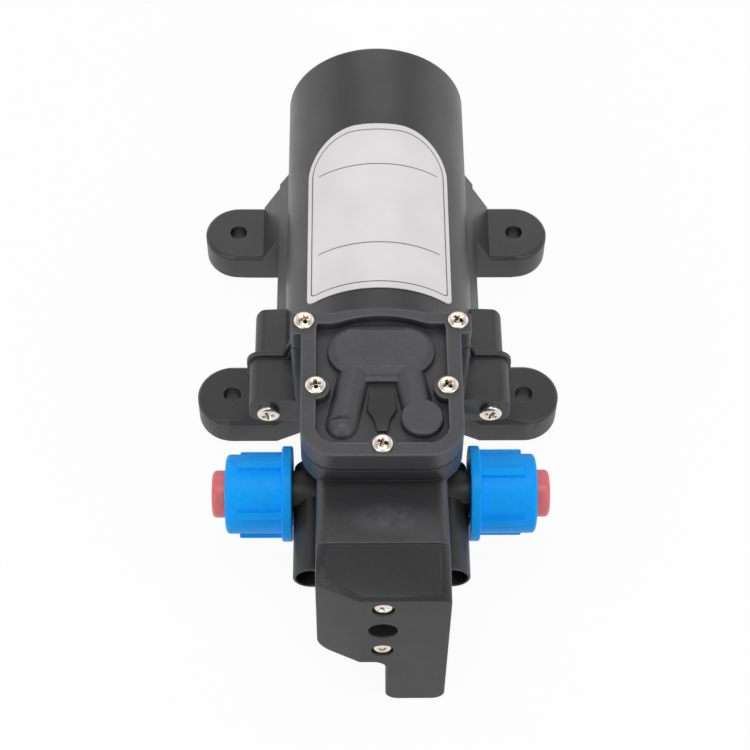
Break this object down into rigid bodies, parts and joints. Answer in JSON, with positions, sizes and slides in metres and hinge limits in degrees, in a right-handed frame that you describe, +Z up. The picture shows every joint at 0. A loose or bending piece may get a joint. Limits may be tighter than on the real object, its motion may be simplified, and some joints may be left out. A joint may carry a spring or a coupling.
{
  "type": "diaphragm water pump",
  "caption": "Small electric diaphragm water pump with a round motor cover on feet, a screwed head, two ribbed union ports with dust plugs and a pressure switch box.",
  "frame": {"origin": "centre of the four foot holes, on the plane that the feet stand on", "axes": "+Z up, +Y along the motor axis towards the closed end of the motor cover, +X to the right as seen from the pressure switch"},
  "size_m": [0.0966, 0.1706, 0.0636],
  "materials": {
    "black_shell": "fine moulded grain, slight sheen",
    "label_film": "silver film, bare",
    "rubber": "smooth rubber",
    "nickel_screw": "nickel plated",
    "blue_nut": "bright blue, glossy",
    "red_plug": "soft red, slightly see-through",
    "red_button": "smooth",
    "white_plastic": "natural acetal",
    "steel": "plain steel",
    "dark_steel": "blackened steel",
    "brass": "plain brass",
    "copper": "enamelled copper wire and bare copper bars",
    "black_inner": "moulded",
    "carbon": "carbon brush",
    "ferrite": "ground ferrite"
  },
  "bodies": {
    "pump": {"motor_cover": "black_shell", "rating_label": "label_film", "pump_body": "black_shell", "head_cover": "black_shell", "head_gasket": "rubber", "head_screws": "nickel_screw", "body_screws": "nickel_screw", "switch_cover": "black_shell", "switch_screws": "nickel_screw", "pressure_membrane": "rubber", "guide_ring": "white_plastic", "switch_spring": "steel", "microswitch": "black_inner", "motor_can": "steel", "magnets": "ferrite", "end_bell": "black_inner", "brushes": "carbon", "brush_springs": "steel", "front_bearing": "steel", "rear_bush": "brass", "diaphragm": "rubber", "valve_plate": "black_inner", "inlet_valve": "rubber", "outlet_valve": "rubber"},
    "rotor": {"motor_shaft": "steel", "armature_core": "steel", "windings": "copper", "commutator": "copper", "eccentric": "steel", "set_screw": "dark_steel"},
    "rod": {"crank_bearing": "steel", "connecting_rod": "white_plastic", "diaphragm_support": "white_plastic", "diaphragm_clamp": "white_plastic", "clamp_screw": "nickel_screw"},
    "left_nut": {"left_union_nut": "blue_nut"},
    "right_nut": {"right_union_nut": "blue_nut"},
    "left_plug": {"left_dust_plug": "red_plug"},
    "right_plug": {"right_dust_plug": "red_plug"},
    "plunger": {"switch_plunger": "white_plastic"},
    "button": {"microswitch_button": "red_button"},
    "adjuster": {"adjusting_screw": "dark_steel"}
  },
  "joints": [
    {"name": "rotor_spin", "type": "hinge", "parent": "pump", "child": "rotor", "pos_m": [0, -0.054, 0.0275], "axis": [0, 1, 0], "continuous": true, "deforming": ["diaphragm"]},
    {"name": "rod_on_crank", "type": "hinge", "parent": "rotor", "child": "rod", "pos_m": [0, -0.054, 0.0291], "axis": [0, 1, 0], "continuous": true},
    {"name": "left_nut_turn", "type": "hinge", "parent": "pump", "child": "left_nut", "pos_m": [-0.03, -0.0708, 0.03], "axis": [-1, 0, 0], "range_deg": [0, 1440]},
    {"name": "right_nut_turn", "type": "hinge", "parent": "pump", "child": "right_nut", "pos_m": [0.03, -0.0708, 0.03], "axis": [1, 0, 0], "range_deg": [0, 1440]},
    {"name": "left_plug_pull", "type": "slide", "parent": "pump", "child": "left_plug", "axis": [-1, 0, 0], "range_m": [0, 0.012]},
    {"name": "right_plug_pull", "type": "slide", "parent": "pump", "child": "right_plug", "axis": [1, 0, 0], "range_m": [0, 0.012]},
    {"name": "plunger_push", "type": "slide", "parent": "pump", "child": "plunger", "axis": [0, -1, 0], "range_m": [0, 0.0006], "stiffness_N_per_m": 3000, "springref_m": -0.001, "deforming": ["switch_spring", "pressure_membrane"]},
    {"name": "button_press", "type": "slide", "parent": "pump", "child": "button", "axis": [0, -1, 0], "range_m": [0, 0.0006]},
    {"name": "adjuster_turn", "type": "hinge", "parent": "pump", "child": "adjuster", "pos_m": [0, -0.1075, 0.0374], "axis": [0, 1, 0], "range_deg": [-720, 720]}
  ],
  "couplings": [
    {"joint": "rod_on_crank", "follows": "rotor_spin", "ratio": -1},
    {"joint": "button_press", "follows": "plunger_push", "ratio": 1}
  ]
}
